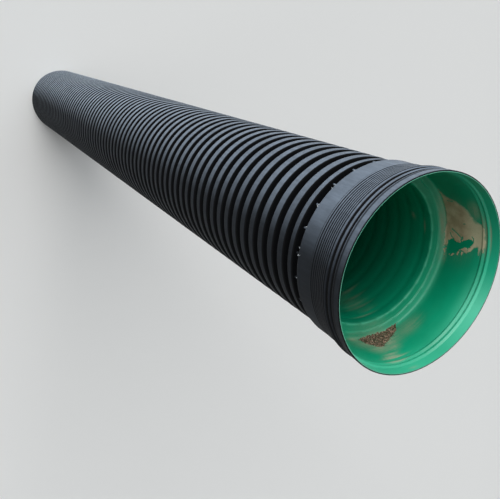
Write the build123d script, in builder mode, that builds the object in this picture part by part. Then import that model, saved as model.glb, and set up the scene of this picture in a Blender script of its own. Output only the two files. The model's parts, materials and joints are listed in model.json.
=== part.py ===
"""Twin wall drainage pipe, 600 mm bore, one 6 m length with an integral socket.

The pipe stands on its plain end with its axis along Z and its socket mouth on top. The origin is on
the floor, on the axis. Sizes are in millimetres.

Two plastic walls are welded to each other while both are still soft: a smooth green inner wall,
and a black outer wall that stands off it in hollow rings. Places along the pipe are depths from
the mouth, and every outline below is drawn as (radius, depth) and turned about the pipe's axis.
"""
import os

from build123d import *

# Barrel
nominal_length = 6000.0
bore_diameter = 600.0
inner_wall_thickness = 3.5
outer_wall_thickness = 3.0

# Rings of the outer wall
crest_diameter = 710.0
rib_pitch = 76.1
crest_width = 40.0
rib_base_width = 56.0
crest_round = 7.0
first_valley_depth = 368.0

# The narrower ring next to the socket
end_rib_crest_width = 29.0

# Socket: a parallel bore, a flare in front of it and a shoulder behind it
socket_clearance = 3.5
shoulder_depth = 256.0
shoulder_run = 25.0
shoulder_lean = 7.0
shoulder_round = 12.0
flare_depth = 150.0
flare_rise = 13.0
flare_round = 260.0

# The green side of the shoulder comes down to the bore in small steps
step_count = 2
step_height = 5.5
step_lean = 3.0
step_round = 4.0

# Small fins in the deep valley behind the socket
fin_count = 24
fin_first_angle = 4.3
fin_thickness = 5.0
fin_reach = 16.0
fin_sink = 4.0
fin_height = 32.0

# Mouth: a smooth rim band, then a groove, a ridge and a groove
rim_band_width = 38.0
rim_rise = 2.0
rim_round = 1.5
groove_pitch = 23.0
groove_width = 18.0
groove_sink = 7.0
groove_round = 4.0

# Radii that follow
bore_radius = bore_diameter / 2
crest_radius = crest_diameter / 2
weld_radius = bore_radius + inner_wall_thickness
wall_thickness = inner_wall_thickness + outer_wall_thickness
socket_radius = crest_radius + socket_clearance
flare_radius = socket_radius + flare_rise
mouth_radius = flare_radius + rim_rise

# The barrel is cut off square in the valley nearest to its nominal length
rib_count = round((nominal_length - first_valley_depth) / rib_pitch)
overall_length = first_valley_depth + rib_count * rib_pitch
rib_depths = [first_valley_depth + (i + 0.5) * rib_pitch for i in range(rib_count)]


def section(points):
    """Places on the section plane, from (radius, depth) pairs."""
    return [(radius, overall_length - depth) for radius, depth in points]


def straight_shoulder(build_up, depth):
    """The shoulder's two ends on a face that lies build_up outside the bore."""
    return [(socket_radius + build_up, depth), (bore_radius + build_up, depth + shoulder_run)]


def stepped_shoulder():
    """The shoulder on the bore's own face: a sloping land and a drop for each step."""
    land_width = (socket_radius - bore_radius) / step_count - step_lean
    land_fall = shoulder_run / step_count - step_height
    radius, depth = socket_radius, shoulder_depth
    points = [(radius, depth)]
    for _ in range(step_count):
        radius, depth = radius - land_width, depth + land_fall
        points.append((radius, depth))
        radius, depth = radius - step_lean, depth + step_height
        points.append((radius, depth))
    return points


def wall_line(build_up, shoulder):
    """A face of the walls from the mouth to the plain end, build_up outside the bore."""
    near_groove = rim_band_width + groove_width / 2
    far_groove = near_groove + groove_pitch
    crown = flare_radius + build_up
    return [
        (mouth_radius + build_up, 0),
        (crown, rim_band_width),
        (crown - groove_sink, near_groove),
        (crown, (near_groove + far_groove) / 2),
        (crown - groove_sink, far_groove),
        (crown, far_groove + groove_width / 2),
        (socket_radius + build_up, flare_depth),
        *shoulder,
        (bore_radius + build_up, overall_length),
    ]


# Each face leans a little further back round the shoulder than the one inside it
weld_shoulder_depth = shoulder_depth + shoulder_lean
outer_shoulder_depth = weld_shoulder_depth + shoulder_lean
inner_face = wall_line(0, stepped_shoulder())
weld_line = wall_line(inner_wall_thickness, straight_shoulder(inner_wall_thickness, weld_shoulder_depth))
outer_face = wall_line(wall_thickness, straight_shoulder(wall_thickness, outer_shoulder_depth))

# Roundings at the points of each face; the weld between the walls stays sharp
mouth_rounds = 5 * [groove_round] + [flare_round, shoulder_round]
step_rounds = (2 * step_count - 1) * [step_round]
inner_rounds = [0] + mouth_rounds + step_rounds + [shoulder_round, 0]
outer_rounds = [rim_round] + mouth_rounds + [shoulder_round, 0]
weld_rounds = [0] * len(weld_line)


def ring_outline(top_width, base_width, top_radius):
    """A ring's outline about its own middle, standing on the weld and narrower at its crest."""
    return [
        (weld_radius, -base_width / 2),
        (top_radius, -top_width / 2),
        (top_radius, top_width / 2),
        (weld_radius, base_width / 2),
    ]


# The narrow ring shares the first common valley with its neighbour
flank_run = (rib_base_width - crest_width) / 2
end_rib_base_width = end_rib_crest_width + 2 * flank_run
end_rib_depth = first_valley_depth - (rib_pitch - rib_base_width + end_rib_base_width) / 2

ring_sections = []
hollow_sections = []
for top_width, base_width in [(crest_width, rib_base_width), (end_rib_crest_width, end_rib_base_width)]:
    with BuildSketch() as ring:
        with BuildLine():
            outline = ring_outline(top_width, base_width, crest_radius)
            FilletPolyline(*outline, radius=[0, crest_round, crest_round, 0], close=True)
        make_face()
    ring_sections.append(ring.sketch)
    with BuildSketch() as hollow:
        with BuildLine():
            hollow_top = top_width - 2 * outer_wall_thickness
            hollow_base = base_width - 2 * outer_wall_thickness
            outline = ring_outline(hollow_top, hollow_base, crest_radius - outer_wall_thickness)
            Polyline(*outline, close=True)
        make_face()
    hollow_sections.append(hollow.sketch)

# One fin: rooted in the shoulder, level with the socket's edge and reaching back into the valley
socket_edge_radius = socket_radius + wall_thickness - fin_sink
shoulder_slope = shoulder_run / (socket_radius - bore_radius)
root_depth = outer_shoulder_depth + shoulder_slope * (fin_sink + fin_height)
with BuildPart() as fin:
    with BuildSketch(Plane.XZ) as fin_section:
        with BuildLine():
            outline = section([
                (socket_edge_radius, outer_shoulder_depth - fin_sink),
                (socket_edge_radius, outer_shoulder_depth + fin_reach),
                (socket_edge_radius - fin_height, root_depth + fin_sink / 2),
                (socket_edge_radius - fin_height, root_depth - fin_sink / 2),
            ])
            Polyline(*outline, close=True)
        make_face()
    extrude(amount=fin_thickness / 2, both=True)

# Outer wall: the socket and the valleys, then the rings, then the hollow under each ring
common_places = section([(0, depth) for depth in rib_depths])
end_place = section([(0, end_rib_depth)])
with BuildPart() as outer_wall:
    with BuildSketch(Plane.XZ) as outer_section:
        with BuildLine():
            outline = section(outer_face + weld_line[::-1])
            FilletPolyline(*outline, radius=outer_rounds + weld_rounds, close=True)
        make_face()
        with Locations(*common_places):
            add(ring_sections[0])
        with Locations(*end_place):
            add(ring_sections[1])
        with Locations(*common_places):
            add(hollow_sections[0], mode=Mode.SUBTRACT)
        with Locations(*end_place):
            add(hollow_sections[1], mode=Mode.SUBTRACT)
    revolve(axis=Axis.Z)
    with PolarLocations(0, fin_count, start_angle=fin_first_angle):
        add(fin.part)
outer_wall.part.label = "outer_wall"

# Inner wall: smooth from end to end, swelling into the socket
with BuildPart() as inner_wall:
    with BuildSketch(Plane.XZ) as inner_section:
        with BuildLine():
            outline = section(inner_face + weld_line[::-1])
            FilletPolyline(*outline, radius=inner_rounds + weld_rounds, close=True)
        make_face()
    revolve(axis=Axis.Z)
inner_wall.part.label = "inner_wall"

os.makedirs("parts", exist_ok=True)
export_step(outer_wall.part, "parts/outer_wall.step")
export_step(inner_wall.part, "parts/inner_wall.step")
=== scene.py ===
"""Finishes for a 6 m twin wall drainage pipe, with its dried mud, a pale floor, soft light and a camera.

Metres, in the pipe's own frame: it stands on the floor with its axis along Z and its mouth on top.
A place on a wall is a depth below the mouth and an angle about the axis. The angle is 0 at +Y and
90 at -X, the side that is on top when the pipe lies down, so its underside is at -90.
"""
import json
import math
import random

import bmesh
import bpy
from mathutils import Matrix, Vector, noise


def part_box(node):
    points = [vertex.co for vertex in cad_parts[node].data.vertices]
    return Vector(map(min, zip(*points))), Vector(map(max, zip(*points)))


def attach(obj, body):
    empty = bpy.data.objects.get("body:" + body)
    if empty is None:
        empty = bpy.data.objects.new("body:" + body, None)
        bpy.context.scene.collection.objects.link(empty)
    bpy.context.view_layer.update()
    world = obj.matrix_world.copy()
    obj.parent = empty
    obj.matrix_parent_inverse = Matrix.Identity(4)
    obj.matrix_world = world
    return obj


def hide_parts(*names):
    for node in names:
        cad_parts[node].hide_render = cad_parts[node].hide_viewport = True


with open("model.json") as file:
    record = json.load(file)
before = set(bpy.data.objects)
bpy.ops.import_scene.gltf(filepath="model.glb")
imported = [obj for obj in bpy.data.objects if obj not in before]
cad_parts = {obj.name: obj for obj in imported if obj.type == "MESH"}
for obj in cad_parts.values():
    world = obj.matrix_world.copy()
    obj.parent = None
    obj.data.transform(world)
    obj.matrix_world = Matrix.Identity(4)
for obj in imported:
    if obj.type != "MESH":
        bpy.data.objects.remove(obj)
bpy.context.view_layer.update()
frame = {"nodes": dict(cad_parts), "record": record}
mounts = {mount["name"]: mount for mount in frame["record"]["mounts"]}
MM = 0.001

# Sizes taken from the frame
mouth_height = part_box("outer_wall")[1].z
bore_radius = mounts["barrel_bore"]["dims"]["r_mm"] * MM
socket_radius = mounts["socket"]["dims"]["r_mm"] * MM

# Sizes of the walls, as they are made
liner_thickness = 3.5 * MM
outer_thickness = 3.0 * MM
wall_thickness = liner_thickness + outer_thickness
rib_pitch = 76.1 * MM
rib_base_width = 56 * MM
half_valley = 10 * MM
crest_radius = 355 * MM
first_valley = 368 * MM
end_ring_from = 303 * MM
end_ring_to = 348 * MM
flare_depth = 150 * MM
flare_radius = socket_radius + 13 * MM
flare_round = 260 * MM
rim_width = 38 * MM
mouth_radius = flare_radius + 2 * MM
groove_pitch = 23 * MM
groove_width = 18 * MM
groove_sink = 7 * MM
groove_round = 4 * MM
near_groove = rim_width + groove_width / 2
far_groove = near_groove + groove_pitch
between_grooves = (near_groove + far_groove) / 2

# The shoulder between socket and barrel, with its two small steps on the green side
shoulder_depth = 256 * MM
shoulder_run = 25 * MM
shoulder_lean = 7 * MM
shoulder_round = 12 * MM
step_count = 2
step_height = 5.5 * MM
step_lean = 3 * MM
step_round = 4 * MM

# The fins behind the shoulder leave faint imprints on its steps. Degrees
imprint_spacing = 15
imprint_from = -8

# Rows of vertices round the pipe: the ribbing is the finest shape
liner_sides = 192
ribbing_sides = 256


def at_place(radius, depth, angle):
    """The point at that radius, depth below the mouth and angle in degrees."""
    turn = math.radians(angle)
    return Vector((-radius * math.sin(turn), radius * math.cos(turn), mouth_height - depth))


def signed(angle):
    """The same angle, from -180 to 180."""
    return (angle + 180) % 360 - 180


def srgb(hex_colour):
    """A colour written as sRGB hex, as linear RGBA."""
    parts = [int(hex_colour[i:i + 2], 16) / 255 for i in (1, 3, 5)]
    return tuple(p / 12.92 if p <= 0.04045 else ((p + 0.055) / 1.055) ** 2.4 for p in parts) + (1,)


def smooth(value, low, high):
    """Nothing below low, one above high, and a soft ramp between them."""
    part = min(1, max(0, (value - low) / (high - low)))
    return part * part * (3 - 2 * part)


def node(tree, kind, inputs=None, **settings):
    """Adds a node. Its inputs are values, or the nodes and sockets that feed them.

    An input without a name of its own goes by number. A mix takes its share in 0 and its two colours
    in 6 and 7. A map range takes its value in 0, from the range 1 to 2, to the range 3 to 4.
    """
    made = tree.nodes.new(kind)
    for name, value in settings.items():
        setattr(made, name, value)
    for key, value in (inputs or {}).items():
        if isinstance(value, bpy.types.Node):
            value = next(socket for socket in value.outputs if socket.enabled)
        if isinstance(value, bpy.types.NodeSocket):
            tree.links.new(value, made.inputs[key])
        else:
            made.inputs[key].default_value = value
    return made


# Outlines and meshes

def rounded(corners, steps=5):
    """An outline through (radius, depth, rounding) corners, with an arc at each rounding."""
    points = []
    for i, (radius, depth, rounding) in enumerate(corners):
        corner = Vector((radius, depth))
        if not rounding:
            points.append(corner)
            continue
        back = (Vector(corners[i - 1][:2]) - corner).normalized()
        ahead = (Vector(corners[i + 1][:2]) - corner).normalized()
        half = back.angle(ahead) / 2
        centre = corner + (back + ahead).normalized() * rounding / math.sin(half)
        start = corner + back * rounding / math.tan(half) - centre
        end = corner + ahead * rounding / math.tan(half) - centre
        for k in range(steps + 1):
            part = k / steps
            points.append(centre + start.lerp(end, part).normalized() * rounding)
    return points


def spaced(outline, gap):
    """The outline with more points, so that none is further than the gap from the last."""
    points = [outline[0]]
    for point in outline[1:]:
        last = points[-1]
        count = math.ceil((point - last).length / gap)
        points += [last.lerp(point, k / count) for k in range(1, count + 1)]
    return points


def radius_at(outline, depth):
    """Radius of an outline at a depth."""
    for here, ahead in zip(outline, outline[1:]):
        if here.y <= depth <= ahead.y and ahead.y > here.y:
            return here.lerp(ahead, (depth - here.y) / (ahead.y - here.y)).x
    return outline[-1].x


def piece(name, vertices, faces, closed=True):
    """A smooth mesh object that keeps its sharp edges and rides on the pipe."""
    sharp_from = 40
    mesh = bpy.data.meshes.new(name)
    mesh.from_pydata(vertices, [], faces)
    if closed:
        shell = bmesh.new()
        shell.from_mesh(mesh)
        bmesh.ops.recalc_face_normals(shell, faces=shell.faces)
        shell.to_mesh(mesh)
        shell.free()
    mesh.shade_smooth()
    mesh.set_sharp_from_angle(angle=math.radians(sharp_from))
    made = bpy.data.objects.new(name, mesh)
    bpy.context.scene.collection.objects.link(made)
    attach(made, "root")
    return made


def lathe(name, outline, segments, drift=None):
    """A closed outline of (radius, depth) points turned about the pipe's axis."""
    vertices, faces = [], []
    rows = len(outline)
    for k in range(segments):
        angle = 360 * k / segments
        for radius, depth in outline:
            moved = drift(depth, angle) if drift else 0
            vertices.append(at_place(radius + moved, depth, angle))
        here, ahead = k * rows, (k + 1) % segments * rows
        for i in range(rows):
            j = (i + 1) % rows
            faces.append((here + i, here + j, ahead + j, ahead + i))
    return piece(name, vertices, faces)


# The walls' outlines: the mouth has a rim band, two grooves and a flare on each of its faces

def mouth_corners(build_up):
    """Corners from the mouth to the socket's bore, on a face that lies build_up outside the green one."""
    crown = flare_radius + build_up
    return [
        (mouth_radius + build_up, 0, 0),
        (crown, rim_width, groove_round),
        (crown - groove_sink, near_groove, groove_round),
        (crown, between_grooves, groove_round),
        (crown - groove_sink, far_groove, groove_round),
        (crown, far_groove + groove_width / 2, groove_round),
        (socket_radius + build_up, flare_depth, flare_round),
    ]


def green_shoulder():
    """Corners of the shoulder's green face: a sloping land and a small drop for each step."""
    land_width = (socket_radius - bore_radius) / step_count - step_lean
    land_fall = shoulder_run / step_count - step_height
    radius, depth = socket_radius, shoulder_depth
    corners = [(radius, depth, shoulder_round)]
    for _ in range(step_count):
        radius, depth = radius - land_width, depth + land_fall
        corners.append((radius, depth, step_round))
        radius, depth = radius - step_lean, depth + step_height
        corners.append((radius, depth, step_round))
    corners[-1] = (radius, depth, shoulder_round)
    return corners


green_line = rounded(mouth_corners(0) + green_shoulder() + [(bore_radius, end_ring_from, 0)])
black_line = rounded(mouth_corners(wall_thickness) + [(socket_radius + wall_thickness, shoulder_depth, 0)])


def green_radius(depth):
    """Radius of the green face at a depth."""
    return radius_at(green_line, depth)


# The green liner. Between its welds it has sagged a little into the hollow of each ring behind it

def sagging_bore():
    """The bore's face from the shoulder to the plain end. It has more rows where it shows in the mouth."""
    sag = 2.2 * MM
    rings_that_show, fine, coarse = 9, 8, 4
    rings = [(end_ring_from, end_ring_to)]
    for k in range(round((mouth_height - first_valley) / rib_pitch)):
        start = first_valley + k * rib_pitch + half_valley
        rings.append((start, start + rib_base_width))
    points = []
    for k, (start, end) in enumerate(rings):
        steps = fine if k < rings_that_show else coarse
        for i in range(steps + 1):
            depth = start + (end - start) * i / steps
            points.append(Vector((bore_radius + sag * math.sin(math.pi * i / steps) ** 2, depth)))
    points.append(Vector((bore_radius, mouth_height)))
    return points


def past_imprint(angle):
    """How far an angle is from one imprint to the next, from nothing to one."""
    return (angle - imprint_from) % imprint_spacing / imprint_spacing


def step_imprint(depth, angle):
    """How far the shoulder's steps drift inwards between the imprints of the fins behind them."""
    drift = 2.6 * MM
    in_steps = smooth(depth, 257 * MM, 262 * MM) * (1 - smooth(depth, 278 * MM, 284 * MM))
    return drift * (0.5 - past_imprint(angle)) * in_steps


def edge_light_shade_and_film(radius, depth, angle):
    """How pale a place on the liner is: the steps' edges, rubbed and with a painted highlight, and a film in the root.
    Painted shade beside the edges is below nothing.
    """
    angle, radius, depth = signed(angle), radius / MM, depth / MM
    # Each step has one edge, rubbed pale and painted with a highlight, the middle one less so. A line of painted shade
    # lies beside each of them
    middle_edge, bore_edge = 331.7, 302.6
    rubbed_highlight_width, shade_from_edge, shade_width = 3.2, 7, 2.2
    off_middle, off_bore = abs(radius - middle_edge), abs(radius - bore_edge)
    off_edge = min(off_middle, off_bore)
    strength = 0.55 if off_middle < off_bore else 1
    on_steps = smooth(depth, 259, 262) * (1 - smooth(depth, 282, 285))
    rubbed_and_highlit = strength * math.exp(-(off_edge / rubbed_highlight_width) ** 2) * (1 - 0.7 * past_imprint(angle))
    painted_crease_shade = math.exp(-((off_edge - shade_from_edge) / shade_width) ** 2)
    # The film lies on the side where the mud is, and down to the lying pipe's floor
    root_depth, film_width = 252, 14
    beside_root = math.exp(-((depth - root_depth) / film_width) ** 2)
    in_root = beside_root * smooth(angle, -110, -60) * (1 - smooth(angle, 25, 50))
    return on_steps * (rubbed_and_highlit - painted_crease_shade) + 0.75 * in_root


# Where the mouth was trimmed, black plastic is pressed over the outer part of the liner's edge
bead_cover = 1.6 * MM
bead_inside = mouth_radius + liner_thickness - bead_cover


def make_liner():
    row_gap = 9 * MM
    weld_shoulder = shoulder_depth + shoulder_lean
    back = [(bead_inside, 0), (bead_inside, bead_cover), (mouth_radius + liner_thickness, bead_cover)]
    back += [(radius, depth) for radius, depth, _ in mouth_corners(liner_thickness)[1:]]
    back.append((socket_radius + liner_thickness, weld_shoulder))
    back.append((bore_radius + liner_thickness, weld_shoulder + shoulder_run))
    back.append((bore_radius + liner_thickness, mouth_height))
    face = spaced(green_line[:-1], row_gap) + sagging_bore()
    outline = [tuple(point) for point in face] + back[::-1]
    made = lathe("green_liner", outline, liner_sides, step_imprint)
    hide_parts("inner_wall")
    angles = [360 * k / liner_sides for k in range(liner_sides)]
    for name, values in (
        ("dust", [dust_at(depth / MM, angle) for angle in angles for _, depth in outline]),
        ("step_light_and_film", [edge_light_shade_and_film(*place, angle) for angle in angles for place in outline]),
    ):
        made.data.attributes.new(name, "FLOAT", "POINT").data.foreach_set("value", values)
    return made


def make_mouth_bead():
    bead_outside = bead_inside + bead_cover
    outline = [(bead_inside, 0), (bead_outside, 0), (bead_outside, bead_cover), (bead_inside, bead_cover)]
    made = lathe("mouth_bead", outline, liner_sides)
    return made


# Fine ribbing round the outside of the socket: flat lands with narrow grooves between them. The real
# one has a rib about each 9 mm. It is drawn coarser here, or it would blur into one grey

ribbing_from = 85 * MM
ribbing_pitch = 12.6 * MM
ribbing_count = 8
ribbing_groove = 6.2 * MM
ribbing_to = ribbing_from + ribbing_count * ribbing_pitch


def make_socket_ribbing():
    proud, groove_floor, sunk = 1.6 * MM, 0.1 * MM, -1 * MM
    steps_back = 5
    outline = []

    def point(depth, height):
        outline.append((radius_at(black_line, depth) + height, depth))

    for k in range(ribbing_count):
        middle = ribbing_from + k * ribbing_pitch
        point(middle, groove_floor)
        point(middle + ribbing_groove / 2, proud)
        point(middle + ribbing_pitch - ribbing_groove / 2, proud)
    point(ribbing_to, groove_floor)
    for k in range(steps_back + 1):
        point(ribbing_to + (ribbing_from - ribbing_to) * k / steps_back, sunk)
    made = lathe("socket_ribbing", outline, ribbing_sides)
    return made


# Tags of flash at the socket's back edge, left where the moulds met: angle, length in mm and curl
FLASH_TAGS = (
    (110.3, 9, 0.2), (124.7, 13, 0.5), (127.6, 12, -0.3), (139.1, 10, 0.4), (140.6, 15, -0.5), (153.3, 16, 0.6),
    (166.0, 12, -0.4), (169.6, 17, 1.6), (-176.4, 11, 0.3), (-161, 9, 0.4), (-131, 10, -0.5), (-86, 8, 0.4),
    (-41, 11, 0.6), (4, 12, -0.6), (34, 9, 0.3), (64, 12, 0.5), (79, 8, -0.4),
)


def make_flash():
    """Each tag is a thin blade that leaves the edge, curls over and thins to its tip."""
    vertices, faces = [], []
    steps = 7
    edge_depth, edge_radius = 263, 362
    for angle, length, curl in FLASH_TAGS:
        first = len(vertices)
        for i in range(steps + 1):
            part = i / steps
            turn = curl * part * part * 2.2
            depth = (edge_depth + length * part * math.cos(turn * 0.6)) * MM
            radius = (edge_radius + 3.2 * part * (1 - 0.6 * part) * (1 + abs(curl))) * MM
            aside = math.degrees(math.sin(turn) * length * part * 0.4 / edge_radius)
            middle = at_place(radius, depth, angle + aside)
            # Half its width and half its thickness, both narrowing to the tip
            wide = (1.5 * (1 - part) + 0.7) * MM
            thin = (1.0 * (1 - part) + 0.4) * MM
            out = at_place(1, 0, angle) - at_place(0, 0, angle)
            side = out.cross(Vector((0, 0, 1)))
            vertices += [middle + side * wide, middle + out * thin, middle - side * wide, middle - out * thin]
        for i in range(steps):
            for k in range(4):
                a, b = first + 4 * i + k, first + 4 * i + (k + 1) % 4
                faces.append((a, b, b + 4, a + 4))
        faces.append((first, first + 1, first + 2, first + 3))
        faces.append(tuple(first + 4 * steps + k for k in (3, 2, 1, 0)))
    made = piece("moulding_flash", vertices, faces)
    return made


# Dirt in the mouth. Its outlines are (depth in mm, angle in degrees) on the green wall
MUD = [
    (258, 45), (242, 39), (227, 35), (205, 33.3), (181, 32.9), (159, 31.3), (140, 29.2), (125, 26.6), (113, 23.3),
    (104, 21), (94, 19), (79, 18), (61, 16.6), (58, 13.6), (55, 9.5), (51, 5.5), (54, 2.6), (58, 1.2),
    (62, -1.8), (66, -4), (69, -2.2), (74, 0.2), (80, -1), (84, -5), (95, -5), (99, 0.6), (107, -0.3),
    (121, -2.6), (132, -3.9), (150, -6), (176, -8.2), (204, -9.9), (233, -10.5), (246, -11.5), (258, -7),
]
PEELED = [
    (119, 5.1), (116, 2.8), (126, -0.1), (135, -1.6), (146, -1.2), (159, -2), (172, -3.6), (180, -5.2), (192, -7),
    (209, -8.6), (222, -8.4), (234, -9.9), (240, -7.5), (241, -3.8), (238, -0.4), (224, 0.9), (210, 2),
    (201, 0.8), (191, 0.4), (175, 1.2), (157, 3.2), (136, 5),
]
# Scratches through the mud: the path of each, and how far in mm it reaches to both sides
SCRATCHES = (
    (((221, 8.2), (202, 6.9), (185, 5.6), (170, 4)), 3.2),
    (((172, 2.6), (165, 5)), 4.2),
    (((123, 7.3), (116, 6.1), (115, 4.1)), 2.2),
    (((161, 14.6), (153, 14.9)), 2.4),
    (((230, 5), (222, 3), (210, 1.8)), 2.6),
    (((163, -4.3), (154, -4.3)), 3.0),
    (((223, 29.3), (195, 30)), 2.0),
    (((168, -3.5), (163, -8)), 2.4),
    (((186, -6), (190, -10)), 2.6),
    (((139, -1), (136, -5)), 1.6),
    (((214, -8.4), (218, -11)), 2.6),
)
SOIL = [
    (254, -102), (258, -96.5), (258, -92.6), (258, -88.4), (257, -85), (256, -81.6), (255, -78.2), (257, -74),
    (257, -71), (256, -69.5), (246, -70.7), (230, -72.7), (218, -75.7), (209, -78.5), (205, -81.5), (192, -84.2),
    (184, -88.2), (171, -91.4), (167, -94.3), (176, -96.9), (193, -98.2), (201, -100), (215, -101), (243, -102.6),
]
# Dabs of dust: depth and angle of the middle, how far it reaches each way, and its strength
DUST = (
    (257, 12, 9, 26, 0.62), (58, 11, 4, 13, 1.1), (38, 11, 2.5, 12, 0.8), (70, 12, 7, 14, 0.8),
    (100, 27, 32, 9, 0.6), (175, 12, 80, 26, 0.42), (244, -11, 22, 8, 0.42), (80, 1.5, 7, 6, 0.6),
    (212, -92, 66, 22, 0.62), (246, -107, 16, 7, 0.6), (160, -96, 36, 12, 0.55), (200, -68, 50, 16, 0.4),
    (118, -93, 5, 8, 0.55), (107, -95, 5, 8, 0.85), (97, -94, 5, 11, 0.7), (72, -96, 8, 10, 0.75),
    (185, -86, 32, 8, 0.62), (148, -88, 24, 8, 0.5), (14, -90, 9, 5, 0.4), (160, -60, 90, 40, 0.12),
    (380, 15, 14, 4, 0.55), (316, 9, 9, 7, 0.55), (326, -88, 8, 14, 0.45), (352, -80, 6, 12, 0.4),
    (395, -84, 8, 16, 0.5), (424, -83, 7, 14, 0.5), (470, -76, 8, 14, 0.5), (532, -73, 12, 12, 0.45),
    (450, -84, 110, 16, 0.27), (640, -82, 110, 13, 0.25),
)


def arc(angle):
    """Length in mm along the socket's wall."""
    return math.radians(angle) * socket_radius / MM


def distance(path, depth, angle):
    """Distance in mm to the nearest place on a path."""
    nearest = math.inf
    x, y = depth, arc(angle)
    for (d0, a0), (d1, a1) in zip(path, path[1:]):
        across, along = d1 - d0, arc(a1) - arc(a0)
        part = ((x - d0) * across + (y - arc(a0)) * along) / (across * across + along * along)
        part = min(1, max(0, part))
        nearest = min(nearest, math.hypot(x - d0 - part * across, y - arc(a0) - part * along))
    return nearest


def inside(outline, depth, angle):
    """Distance in mm to an outline's edge, negative outside it."""
    within = False
    loop = outline + outline[:1]
    for (d0, a0), (d1, a1) in zip(loop, loop[1:]):
        if (a0 > angle) != (a1 > angle) and depth < d0 + (angle - a0) * (d1 - d0) / (a1 - a0):
            within = not within
    return distance(loop, depth, angle) * (1 if within else -1)


def ruffle(depth, angle, size, layer):
    """Noise from about -1 to 1, with lumps of that size in mm."""
    return noise.fractal(Vector((depth / size, arc(angle) / size, layer)), 1.0, 2.0, 4)


def dust_at(depth, angle):
    """How thick the film of dust is on the green wall, from nothing to about one."""
    angle = signed(angle)
    total = 0
    for middle, turn, reach, spread, strength in DUST:
        off = ((depth - middle) / reach) ** 2 + ((angle - turn) / spread) ** 2
        total = max(total, strength * math.exp(-off))
    # The mud took the dust with it where it came off, which is asked only near that patch, to save time
    if total > 0.05 and 110 < depth < 245 and abs(angle) < 10:
        total *= 1 - 0.85 * smooth(inside(PEELED, depth, angle), -4, 4)
    return total


def mud_at(depth, angle):
    """Height in mm of the mud over the wall, and how well it hides the wall."""
    edge = inside(MUD, depth, angle) + 4 * ruffle(depth, angle, 12, 1)
    # It thins out slowly along its upper side and beside the grooves, and ends sharply elsewhere
    fade = 5 + 21 * smooth(angle, 5, 14) * smooth(depth, 90, 110) + 11 * (1 - smooth(depth, 95, 125))
    cover = smooth(edge, 0, fade)
    # Under the peeled patch only scraps are left
    cover *= 1 - smooth(-angle, 2, 6) * smooth(depth, 108, 128) * smooth(ruffle(depth, angle, 11, 8), -0.3, 0.05)
    peel = inside(PEELED, depth, angle) + 4 * ruffle(depth, angle, 9, 2)
    cover *= 1 - smooth(peel, -1, 1)
    for path, width in SCRATCHES:
        gap = distance(path, depth, angle) + 1.5 * ruffle(depth, angle, 5, 3)
        cover *= smooth(gap, width - 0.6, width + 0.8)
    # The skin curls up a little round the peeled patch
    lifted = math.exp(-((peel + 3.5) / 2.5) ** 2)
    body = smooth(cover, 0.02, 0.35)
    height = -0.9 + 1.9 * body + body * (0.35 * ruffle(depth, angle, 16, 4) + 1.1 * lifted)
    return height, cover


def soil_at(depth, angle):
    """Height in mm of the soil over the wall, and its crumb, low in its pits and high on its lumps, which the material
    paints darker in the pits as painted shade.
    """
    edge = inside(SOIL, depth, angle) + 3.5 * ruffle(depth, angle, 9, 5)
    lumps = ruffle(depth, angle, 9, 6)
    crumb = ruffle(depth, angle, 4, 7)
    height = -1.5 + 2.0 * smooth(edge, -4, 4) + 3 * smooth(edge, 0, 40)
    height += (0.6 * lumps + 0.9 * crumb) * smooth(edge, -4, 8)
    return height, 0.5 + 0.7 * lumps + 0.5 * crumb


def dirt_sheet(name, depths, angles, gap, shape):
    """A sheet of dirt on the green wall. Where the shape gives a height below nothing it ends in the wall."""
    rows = round((depths[1] - depths[0]) / gap)
    columns = round((arc(angles[1]) - arc(angles[0])) / gap)
    grid = {}
    for i in range(rows + 1):
        depth = depths[0] + (depths[1] - depths[0]) * i / rows
        for j in range(columns + 1):
            angle = angles[0] + (angles[1] - angles[0]) * j / columns
            height, tone = shape(depth, angle)
            grid[i, j] = (depth * MM, angle, height * MM, tone)
    used, vertices, tones, faces = {}, [], [], []
    for i in range(rows):
        for j in range(columns):
            corners = ((i, j), (i, j + 1), (i + 1, j + 1), (i + 1, j))
            if max(grid[corner][2] for corner in corners) < 0:
                continue
            for corner in corners:
                if corner not in used:
                    used[corner] = len(vertices)
                    depth, angle, height, tone = grid[corner]
                    vertices.append(at_place(green_radius(depth) - height, depth, angle))
                    tones.append(tone)
            faces.append(tuple(used[corner] for corner in corners))
    made = piece(name, vertices, faces, closed=False)
    made.data.attributes.new("tone", "FLOAT", "POINT").data.foreach_set("value", tones)
    backing = made.modifiers.new("backing", "SOLIDIFY")
    backing.thickness = 1.2 * MM
    backing.offset = -1
    return made


def make_crumbs():
    """Loose crumbs of soil on the heap and round it: small uneven lumps with eight sides."""
    crumb_count, furthest_stray = 320, 9
    chance = random.Random(7)
    vertices, faces = [], []
    corners = [Vector(v) for v in ((1, 0, 0), (-1, 0, 0), (0, 1, 0), (0, -1, 0), (0, 0, 1), (0, 0, -1))]
    sides = [(a, b, c) for a in (0, 1) for b in (2, 3) for c in (4, 5)]
    while len(vertices) < crumb_count * len(corners):
        depth, angle = chance.uniform(140, 255), chance.uniform(-110, -64)
        edge = inside(SOIL, depth, angle)
        if edge < -furthest_stray * chance.random() ** 2:
            continue
        size = chance.uniform(0.9, 2.5) * MM
        height = max(0, soil_at(depth, angle)[0]) * MM + 0.3 * size
        middle = at_place(green_radius(depth * MM) - height, depth * MM, angle)
        first = len(vertices)
        turn = Matrix.Rotation(chance.uniform(0, 6), 3, Vector((chance.random(), chance.random(), 1)))
        vertices += [middle + turn @ corner * size * chance.uniform(0.7, 1.3) for corner in corners]
        faces += [tuple(first + k for k in side) for side in sides]
    made = piece("soil_crumbs", vertices, faces)
    return made


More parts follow.
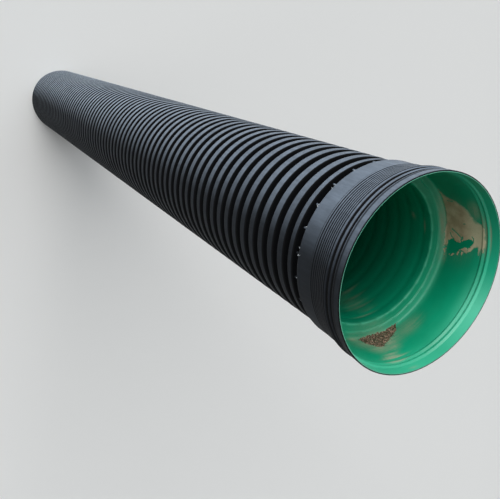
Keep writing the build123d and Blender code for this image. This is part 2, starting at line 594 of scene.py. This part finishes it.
liner = make_liner()
bead = make_mouth_bead()
ribbing = make_socket_ribbing()
flash = make_flash()
mud = dirt_sheet("dried_mud", depths=(48, 258), angles=(-14, 46), gap=2.2, shape=mud_at)
soil = dirt_sheet("soil_heap", depths=(150, 258), angles=(-108, -65), gap=1.8, shape=soil_at)
crumbs = make_crumbs()


# Materials, with how much polyethylene and dry earth bend light

plastic_ior = 1.51
earth_ior = 1.45


def new_material(name):
    material = bpy.data.materials.new(name)
    material.use_nodes = True
    material.node_tree.nodes.clear()
    return material, material.node_tree


def wall_place(tree):
    """The shaded point, its parts along X, Y and Z, and its depth below the mouth."""
    place = node(tree, "ShaderNodeNewGeometry")
    parts = node(tree, "ShaderNodeSeparateXYZ", {0: place}).outputs
    depth = node(tree, "ShaderNodeMath", {0: mouth_height, 1: parts[2]}, operation="SUBTRACT")
    return place, parts, depth


def black_polyethylene():
    """Corrugated black HDPE, vacuum formed in moulds: satin, greyed by sun and scuffs on all that stands proud, with a
    painted sheen there and on the upper side, and painted shade in the grooves.
    """
    material, tree = new_material("black_polyethylene_formed")
    place, parts, depth = wall_place(tree)
    off_axis = node(tree, "ShaderNodeCombineXYZ", {0: parts[0], 1: parts[1]})
    radius = node(tree, "ShaderNodeVectorMath", {0: off_axis}, operation="LENGTH")
    # Patches of about 140 mm, scuffs about 17 mm across and 110 mm along the pipe, and a grain of 1.4 mm
    blotch = node(tree, "ShaderNodeTexNoise", {"Vector": place, "Scale": 7.0, "Detail": 6.0})
    drawn = node(tree, "ShaderNodeVectorMath", {0: place, 1: (60.0, 60.0, 9.0)}, operation="MULTIPLY")
    scuffs = node(tree, "ShaderNodeTexNoise", {"Vector": drawn, "Scale": 1.0, "Detail": 5.0, "Roughness": 0.7})
    grain = node(tree, "ShaderNodeTexNoise", {"Vector": place, "Scale": 700.0, "Detail": 3.0})
    # What makes it grey is a product of parts, partly scuffs and sun and partly a painted sheen. First, only what
    # stands proud: the tops of the rings, and the socket with the ridge between its two grooves
    proud = node(
        tree, "ShaderNodeMapRange", {0: radius, 1: crest_radius - 1.5 * MM, 2: crest_radius - 0.2 * MM},
        interpolation_type="SMOOTHSTEP",
    )
    # The two grooves keep the black, as painted shade in them
    off_ridge = node(tree, "ShaderNodeMath", {0: depth, 1: between_grooves}, operation="SUBTRACT")
    off_ridge = node(tree, "ShaderNodeMath", {0: off_ridge}, operation="ABSOLUTE")
    off_groove = node(tree, "ShaderNodeMath", {0: off_ridge, 1: groove_pitch / 2}, operation="SUBTRACT")
    off_groove = node(tree, "ShaderNodeMath", {0: off_groove}, operation="ABSOLUTE")
    outside_groove_shade = node(
        tree, "ShaderNodeMapRange", {0: off_groove, 1: groove_width * 0.25, 2: groove_width * 0.43},
        interpolation_type="SMOOTHSTEP",
    )
    # The ribbing's narrow grooves keep the black, as painted shade in them
    off_rib = node(tree, "ShaderNodeMath", {0: depth, 1: ribbing_from}, operation="SUBTRACT")
    off_rib = node(tree, "ShaderNodeMath", {0: off_rib, 1: ribbing_pitch / 2}, operation="PINGPONG")
    land_outside_rib_shade = node(tree, "ShaderNodeMapRange", {0: off_rib, 1: 2.0 * MM, 2: 3.8 * MM}, interpolation_type="SMOOTHSTEP")
    off_ribbing = node(tree, "ShaderNodeMath", {0: depth, 1: (ribbing_from + ribbing_to) / 2}, operation="SUBTRACT")
    off_ribbing = node(tree, "ShaderNodeMath", {0: off_ribbing}, operation="ABSOLUTE")
    ribbing_reach = (ribbing_to - ribbing_from) / 2
    plain = node(tree, "ShaderNodeMapRange", {0: off_ribbing, 1: ribbing_reach, 2: ribbing_reach + 2 * MM})
    land_outside_rib_shade = node(tree, "ShaderNodeMath", {0: land_outside_rib_shade, 1: plain}, operation="MAXIMUM")
    # A shallow dark line sets the rim band off from the bead beside the near groove
    off_line = node(tree, "ShaderNodeMath", {0: depth, 1: rim_width - 7 * MM}, operation="SUBTRACT")
    off_line = node(tree, "ShaderNodeMath", {0: off_line}, operation="ABSOLUTE")
    off_line = node(tree, "ShaderNodeMapRange", {0: off_line, 1: 2 * MM, 2: 6 * MM, 3: 0.2, 4: 1.0})
    # The trimmed edge round the mouth is fresh black
    off_mouth = node(tree, "ShaderNodeMapRange", {0: depth, 1: 1 * MM, 2: 4 * MM, 3: 0.1, 4: 1.0})
    # The side that has lain uppermost is greyed most, by sun and as painted light from above, and the grey reaches
    # further down at -Y
    from_sky = node(tree, "ShaderNodeMath", {0: parts[1], 1: 0.3, 2: parts[0]}, operation="MULTIPLY_ADD")
    sunned_and_lit = node(
        tree, "ShaderNodeMapRange", {0: from_sky, 1: -360 * MM, 2: -170 * MM, 3: 1.0, 4: 0.1},
        interpolation_type="SMOOTHSTEP",
    )
    patchy = node(tree, "ShaderNodeMapRange", {0: blotch, 1: 0.3, 2: 0.7, 3: 0.78, 4: 1.0})
    scuffed = node(tree, "ShaderNodeMapRange", {0: scuffs, 1: 0.35, 2: 0.75, 3: 0.8, 4: 1.15})
    worn_and_sheen = proud
    for part in (outside_groove_shade, land_outside_rib_shade, off_line, off_mouth, sunned_and_lit, patchy, scuffed):
        worn_and_sheen = node(tree, "ShaderNodeMath", {0: worn_and_sheen, 1: part}, operation="MULTIPLY")
    colour = node(tree, "ShaderNodeMix", {0: worn_and_sheen, 6: srgb("#030406"), 7: srgb("#656f7b")}, data_type="RGBA")
    # The far half is painted paler, from 1 m down the pipe to 4.5 m, as painted sheen on rings seen at a grazing angle
    painted_light = node(tree, "ShaderNodeMapRange", {0: depth, 1: 1.0, 2: 4.5, 3: 0.0, 4: 0.7})
    painted_light = node(tree, "ShaderNodeMath", {0: painted_light, 1: worn_and_sheen}, operation="MULTIPLY")
    colour = node(tree, "ShaderNodeMix", {0: painted_light, 6: colour, 7: srgb("#8d98a3")}, data_type="RGBA")
    # What stands proud is rubbed smoother, and shines where it is seen along the pipe
    rough = node(tree, "ShaderNodeMapRange", {0: worn_and_sheen, 1: 0.0, 2: 1.0, 3: 0.7, 4: 0.38})
    bump = node(tree, "ShaderNodeBump", {"Height": grain, "Strength": 0.25, "Distance": 0.3 * MM})
    surface = {"Base Color": colour, "Roughness": rough, "Normal": bump, "IOR": plastic_ior, "Specular IOR Level": 0.1}
    shader = node(tree, "ShaderNodeBsdfPrincipled", surface)
    node(tree, "ShaderNodeOutputMaterial", {"Surface": shader})
    return material


def stretched_polyethylene():
    """The same HDPE pulled thin at the moulds' joint, which turns it dull and whitish."""
    material, tree = new_material("stretched_polyethylene_flash")
    place = node(tree, "ShaderNodeNewGeometry")
    # Paler and darker by spots of about 8 mm
    tint = node(tree, "ShaderNodeTexNoise", {"Vector": place, "Scale": 120.0, "Detail": 2.0})
    colour = node(tree, "ShaderNodeMix", {0: tint, 6: srgb("#6c7277"), 7: srgb("#c3c8ca")}, data_type="RGBA")
    shader = node(tree, "ShaderNodeBsdfPrincipled", {"Base Color": colour, "Roughness": 0.5, "IOR": plastic_ior})
    node(tree, "ShaderNodeOutputMaterial", {"Surface": shader})
    return material


def green_polyethylene():
    """Smooth extruded green HDPE: satin, with a film of pale dust where dirt has lain or run, painted light towards
    the mouth and on the steps' edges, and painted shade deeper in and beside the steps.
    """
    material, tree = new_material("green_polyethylene_extruded")
    place, parts, depth = wall_place(tree)
    # Clouds of about 200 mm, specks of 8 mm, and streaks 110 mm long round the pipe and 4 mm wide
    blotch = node(tree, "ShaderNodeTexNoise", {"Vector": place, "Scale": 5.0, "Detail": 5.0})
    specks = node(tree, "ShaderNodeTexNoise", {"Vector": place, "Scale": 130.0, "Detail": 5.0, "Roughness": 0.65})
    drawn = node(tree, "ShaderNodeVectorMath", {0: place, 1: (9.0, 9.0, 230.0)}, operation="MULTIPLY")
    streaks = node(tree, "ShaderNodeTexNoise", {"Vector": drawn, "Scale": 1.0, "Detail": 4.0})
    # The flare is paler towards the mouth, bleached and painted with the light that comes in there, less so on the
    # lying pipe's floor
    bleached_and_lit = node(
        tree, "ShaderNodeMapRange", {0: depth, 1: 20 * MM, 2: 130 * MM, 3: 0.72, 4: 0.0},
        interpolation_type="SMOOTHSTEP",
    )
    sunned_and_lit = node(tree, "ShaderNodeMapRange", {0: parts[0], 1: 220 * MM, 2: 340 * MM, 3: 1.0, 4: 0.3})
    bleached_and_lit = node(tree, "ShaderNodeMath", {0: bleached_and_lit, 1: sunned_and_lit}, operation="MULTIPLY")
    # Where the lying pipe's lip faces up it is painted paler still, as painted light falling on it
    facing_up = node(tree, "ShaderNodeMapRange", {0: parts[0], 1: 60 * MM, 2: 200 * MM, 3: 0.0, 4: 0.45})
    painted_light = node(tree, "ShaderNodeMath", {0: bleached_and_lit, 1: facing_up}, operation="MULTIPLY")
    # The cut edge is scuffed pale. The steps' edges are rubbed pale and painted with a highlight, with a line of
    # painted shade beside them
    scuffed = node(tree, "ShaderNodeMapRange", {0: depth, 1: 0.3 * MM, 2: 1.0 * MM, 3: 0.45, 4: 0.0})
    step_light_and_film = node(tree, "ShaderNodeAttribute", attribute_name="step_light_and_film").outputs["Fac"]
    rubbed_and_highlit = node(tree, "ShaderNodeMapRange", {0: step_light_and_film, 1: 0.0, 2: 1.0, 3: 0.0, 4: 0.62})
    painted_crease_shade = node(tree, "ShaderNodeMapRange", {0: step_light_and_film, 1: 0.0, 2: -1.0, 3: 0.0, 4: 0.55})
    # Deeper in, the bore is painted darker, as painted shade where less light reaches
    painted_depth_shade = node(tree, "ShaderNodeMapRange", {0: depth, 1: 290 * MM, 2: 650 * MM, 3: 0.0, 4: 0.4})
    clean = srgb("#027a57")
    for share, tint in (
        (blotch, "#0a966f"), (bleached_and_lit, "#31be96"), (painted_light, "#8fdcc0"), (scuffed, "#86b8a4"),
        (rubbed_and_highlit, "#4fb491"), (painted_crease_shade, "#03523e"), (painted_depth_shade, "#03523e"),
    ):
        clean = node(tree, "ShaderNodeMix", {0: share, 6: clean, 7: srgb(tint)}, data_type="RGBA")
    # Dust lies in a film that specks and streaks break up
    film = node(tree, "ShaderNodeAttribute", attribute_name="dust").outputs["Fac"]
    broken = node(tree, "ShaderNodeMix", {0: 0.6, 2: specks, 3: streaks})
    broken = node(tree, "ShaderNodeMapRange", {0: broken, 1: 0.38, 2: 0.62, 3: 0.65, 4: 1.25})
    film = node(tree, "ShaderNodeMath", {0: film, 1: broken}, operation="MULTIPLY")
    dusty = node(
        tree, "ShaderNodeMapRange", {0: film, 1: 0.06, 2: 0.9, 3: 0.0, 4: 0.78}, interpolation_type="SMOOTHSTEP",
    )
    colour = node(tree, "ShaderNodeMix", {0: dusty, 6: clean, 7: srgb("#a39880")}, data_type="RGBA")
    rough = node(tree, "ShaderNodeMapRange", {0: dusty, 1: 0.0, 2: 0.7, 3: 0.34, 4: 0.8})
    surface = {"Base Color": colour, "Roughness": rough, "IOR": plastic_ior, "Specular IOR Level": 0.36}
    shader = node(tree, "ShaderNodeBsdfPrincipled", surface)
    node(tree, "ShaderNodeOutputMaterial", {"Surface": shader})
    return material


def dried_silt():
    """Silt that settled from water and dried on the wall: a matt skin, green where thin enough to show the wall."""
    material, tree = new_material("dried_silt_skin")
    place, _, depth = wall_place(tree)
    cover = node(tree, "ShaderNodeAttribute", attribute_name="tone").outputs["Fac"]
    # Clouds of about 36 mm and a grain of 2.4 mm, which is coarser than real silt
    cloud = node(tree, "ShaderNodeTexNoise", {"Vector": place, "Scale": 28.0, "Detail": 5.0})
    grain = node(tree, "ShaderNodeTexNoise", {"Vector": place, "Scale": 420.0, "Detail": 4.0})
    clouded = node(tree, "ShaderNodeMapRange", {0: cloud, 1: 0.35, 2: 0.65})
    # The skin is paler towards the mouth, and palest where it dried last, in the root of the shoulder
    to_mouth = node(
        tree, "ShaderNodeMapRange", {0: depth, 1: 100 * MM, 2: 175 * MM, 3: 0.8, 4: 0.0},
        interpolation_type="SMOOTHSTEP",
    )
    near_root = {0: depth, 1: shoulder_depth - 10 * MM, 2: shoulder_depth, 3: 0.0, 4: 0.7}
    to_root = node(tree, "ShaderNodeMapRange", near_root)
    speckled = node(tree, "ShaderNodeMapRange", {0: grain, 1: 0.56, 2: 0.72, 3: 0.0, 4: 0.4})
    brown = srgb("#a98d70")
    for share, tint in (
        (clouded, "#c7aa8b"), (to_mouth, "#c9bd9c"), (to_root, "#c4bda2"), (speckled, "#6f5c47"),
    ):
        brown = node(tree, "ShaderNodeMix", {0: share, 6: brown, 7: srgb(tint)}, data_type="RGBA")
    ragged = node(tree, "ShaderNodeMath", {0: grain, 1: 0.25}, operation="MULTIPLY")
    shown = node(tree, "ShaderNodeMath", {0: cover, 1: ragged}, operation="ADD")
    shown = node(tree, "ShaderNodeMapRange", {0: shown, 1: 0.15, 2: 0.85})
    colour = node(tree, "ShaderNodeMix", {0: shown, 6: srgb("#1f8466"), 7: brown}, data_type="RGBA")
    bump = node(tree, "ShaderNodeBump", {"Height": grain, "Strength": 0.5, "Distance": 0.8 * MM})
    surface = {"Base Color": colour, "Roughness": 0.85, "Normal": bump, "IOR": earth_ior}
    shader = node(tree, "ShaderNodeBsdfPrincipled", surface)
    node(tree, "ShaderNodeOutputMaterial", {"Surface": shader})
    return material


def sandy_soil():
    """Sandy soil blown or washed in: brown clods, with pale grit, and pits darkened as painted shade."""
    material, tree = new_material("sandy_soil_loose")
    place = node(tree, "ShaderNodeNewGeometry")
    tone = node(tree, "ShaderNodeAttribute", attribute_name="tone").outputs["Fac"]
    # Clods of about 12 mm, and grit of about 3 mm
    clods = node(tree, "ShaderNodeTexNoise", {"Vector": place, "Scale": 85.0, "Detail": 3.0})
    grit = node(tree, "ShaderNodeTexVoronoi", {"Vector": place, "Scale": 330.0})
    reddened = node(tree, "ShaderNodeMapRange", {0: clods, 1: 0.42, 2: 0.58})
    warm = node(tree, "ShaderNodeMix", {0: reddened, 6: srgb("#4a4b31"), 7: srgb("#8c6857")}, data_type="RGBA")
    # The pits are painted darker, as painted shade
    out_of_pit_shade = node(tree, "ShaderNodeMapRange", {0: tone, 1: 0.2, 2: 0.7})
    warm = node(tree, "ShaderNodeMix", {0: out_of_pit_shade, 6: srgb("#373120"), 7: warm}, data_type="RGBA")
    grain = node(tree, "ShaderNodeSeparateColor", {0: grit.outputs["Color"]})
    pale = node(tree, "ShaderNodeMapRange", {0: grain, 1: 0.66, 2: 0.95, 3: 0.0, 4: 0.5})
    colour = node(tree, "ShaderNodeMix", {0: pale, 6: warm, 7: srgb("#b7a98c")}, data_type="RGBA")
    bump = node(tree, "ShaderNodeBump", {"Height": grit, "Strength": 0.6, "Distance": 1.5 * MM})
    surface = {"Base Color": colour, "Roughness": 0.95, "Normal": bump, "IOR": earth_ior}
    shader = node(tree, "ShaderNodeBsdfPrincipled", surface)
    node(tree, "ShaderNodeOutputMaterial", {"Surface": shader})
    return material


black = black_polyethylene()
soil_material = sandy_soil()
for thing, material in (
    (frame["nodes"]["outer_wall"], black), (bead, black), (ribbing, black), (flash, stretched_polyethylene()),
    (liner, green_polyethylene()), (mud, dried_silt()), (soil, soil_material), (crumbs, soil_material),
):
    thing.data.materials.clear()
    thing.data.materials.append(material)


# Floor, light and camera

def looked_at(tree):
    """One for rays from the camera, and for those that a shine or glass sends on."""
    path = node(tree, "ShaderNodeLightPath").outputs
    seen = node(tree, "ShaderNodeMath", {0: path["Is Camera Ray"], 1: path["Is Glossy Ray"]}, operation="MAXIMUM")
    return node(tree, "ShaderNodeMath", {0: seen, 1: path["Is Transmission Ray"]}, operation="MAXIMUM")


def make_floor():
    """A plain pale floor, 120 m across, so that its edge is out of sight."""
    reach = 60
    corners = [(-reach, -reach, 0), (reach, -reach, 0), (reach, reach, 0), (-reach, reach, 0)]
    mesh = bpy.data.meshes.new("studio_floor")
    mesh.from_pydata(corners, [], [(0, 1, 2, 3)])
    floor = bpy.data.objects.new("studio_floor", mesh)
    bpy.context.scene.collection.objects.link(floor)
    material, tree = new_material("studio_floor_paper")
    # It is plain and pale to look at. What it throws back on the pipe fades to the pipe's underside,
    # as if a black cloth lay on that side of the floor
    place = node(tree, "ShaderNodeSeparateXYZ", {0: node(tree, "ShaderNodeNewGeometry")})
    under = node(tree, "ShaderNodeMapRange", {0: place.outputs[0], 1: -2.0, 2: 1.0})
    cloth = node(tree, "ShaderNodeMix", {0: under, 6: srgb("#f4f2ee"), 7: srgb("#5c5c5a")}, data_type="RGBA")
    colour = node(tree, "ShaderNodeMix", {0: looked_at(tree), 6: cloth, 7: srgb("#edebe7")}, data_type="RGBA")
    shader = node(tree, "ShaderNodeBsdfDiffuse", {"Color": colour})
    node(tree, "ShaderNodeOutputMaterial", {"Surface": shader})
    mesh.materials.append(material)


def make_light():
    """One soft dome, brighter on the side that is up when the pipe lies down, and two softboxes."""
    world = bpy.data.worlds.new("studio")
    bpy.context.scene.world = world
    world.use_nodes = True
    tree = world.node_tree
    tree.nodes.clear()
    direction = node(tree, "ShaderNodeTexCoord")
    parts = node(tree, "ShaderNodeSeparateXYZ", {0: direction})
    # Strength 2.3 from straight above the lying pipe, and 0.15 from its underside
    level = node(
        tree, "ShaderNodeMapRange", {0: parts.outputs[0], 1: -1.0, 2: -0.05, 3: 2.3, 4: 0.15},
        interpolation_type="SMOOTHSTEP",
    )
    around = node(tree, "ShaderNodeBackground", {"Color": srgb("#e6edf4"), "Strength": level})
    seen = node(tree, "ShaderNodeBackground", {"Color": srgb("#e6e5e1"), "Strength": 1.0})
    mixed = node(tree, "ShaderNodeMixShader", {0: looked_at(tree), 1: around, 2: seen})
    node(tree, "ShaderNodeOutputWorld", {"Surface": mixed})
    for name, towards, strength, spread in (
        ("sky_softbox", (0.91, 0.16, -0.38), 2.0, 45),
        ("front_softbox", (0.28, 0.62, -0.73), 0.5, 60),
    ):
        lamp = bpy.data.lights.new(name, "SUN")
        lamp.energy = strength
        lamp.angle = math.radians(spread)
        sun = bpy.data.objects.new(name, lamp)
        sun.rotation_mode = "QUATERNION"
        sun.rotation_quaternion = Vector(towards).to_track_quat("-Z", "Y")
        bpy.context.scene.collection.objects.link(sun)


def make_camera():
    """The photograph's camera, which looks into the mouth from above one side of the lying pipe.

    It stands off the middle of the mouth, ahead of it, aside and above, as the pipe lies.
    """
    photo_width = 500
    focal_pixels = 572.9
    sensor_width = 36.0
    ahead, aside, above = 1.30803, -1.39228, 0.81376
    yaw, pitch = 0.52729, 0.35316
    # The photograph is cropped a little off its lens's middle
    middle_right, middle_up = 20.0, 9.5
    lens = bpy.data.cameras.new("camera")
    lens.sensor_width = sensor_width
    lens.lens = sensor_width * focal_pixels / photo_width
    lens.shift_x = -middle_right / photo_width
    lens.shift_y = -middle_up / photo_width
    camera = bpy.data.objects.new("camera", lens)
    # Axes of the lying pipe, in the standing pipe's frame
    along, across, up = Vector((0, 0, 1)), Vector((0, 1, 0)), Vector((-1, 0, 0))
    forward = (-math.cos(yaw) * along + math.sin(yaw) * across) * math.cos(pitch) - math.sin(pitch) * up
    right = forward.cross(up).normalized()
    top = right.cross(forward)
    place = Vector((0, 0, mouth_height)) + ahead * along + aside * across + above * up
    turn = Matrix((right, top, -forward)).transposed()
    camera.matrix_world = Matrix.Translation(place) @ turn.to_4x4()
    bpy.context.scene.collection.objects.link(camera)
    bpy.context.scene.camera = camera


make_floor()
make_light()
make_camera()
bpy.context.scene.view_settings.view_transform = "Standard"
